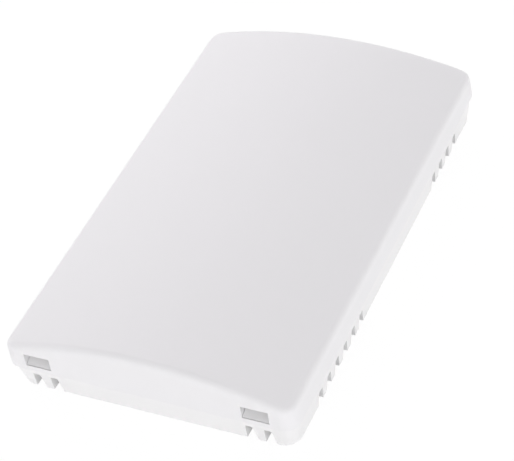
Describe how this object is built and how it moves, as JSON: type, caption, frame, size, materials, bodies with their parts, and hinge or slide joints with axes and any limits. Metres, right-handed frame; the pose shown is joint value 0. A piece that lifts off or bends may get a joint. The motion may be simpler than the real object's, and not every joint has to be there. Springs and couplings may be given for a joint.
{
  "type": "wall temperature sensor",
  "caption": "Flat white room temperature sensor for a wall, with a crowned clip-on cover over a slotted wall plate that carries a terminal block and a thermistor board.",
  "frame": {"origin": "centre of the back face, which lies against the wall", "axes": "+Z out of the wall, +Y up the wall towards the sensor's upper end, +X to the right seen from the front"},
  "size_m": [0.0804, 0.1286, 0.0203],
  "materials": {
    "white_abs_cover": "fine matt moulded",
    "white_abs_plate": "fine matt moulded",
    "board_laminate": "green solder mask",
    "zinc_plated_steel": "bright zinc plate",
    "terminal_polyamide": "moulded",
    "nickel_brass": "nickel plated",
    "tinned_copper": "tinned",
    "bead_glass": "glossy drop",
    "sleeve_ptfe": "smooth",
    "suppressor_epoxy": "dipped",
    "resistor_lacquer": "lacquered",
    "header_plastic": "moulded",
    "chip_ceramic_black": "glazed",
    "chip_ceramic_tan": "fired",
    "solder": "bright"
  },
  "bodies": {
    "root": {"front_cover": "white_abs_cover", "wall_plate": "white_abs_plate", "circuit_board": "board_laminate", "board_screws": "zinc_plated_steel", "terminal_block": "terminal_polyamide", "terminal_cages": "nickel_brass", "terminal_screws": "zinc_plated_steel", "terminal_pins": "tinned_copper", "thermistor_bead": "bead_glass", "thermistor_leads": "tinned_copper", "thermistor_sleeves": "sleeve_ptfe", "surge_suppressors": "suppressor_epoxy", "suppressor_leads": "tinned_copper", "reference_resistor": "resistor_lacquer", "reference_leads": "tinned_copper", "jumper_base": "header_plastic", "jumper_pins": "tinned_copper", "jumper_shunt": "header_plastic", "chip_resistors": "chip_ceramic_black", "chip_capacitors": "chip_ceramic_tan", "solder_joints": "solder"}
  },
  "joints": []
}
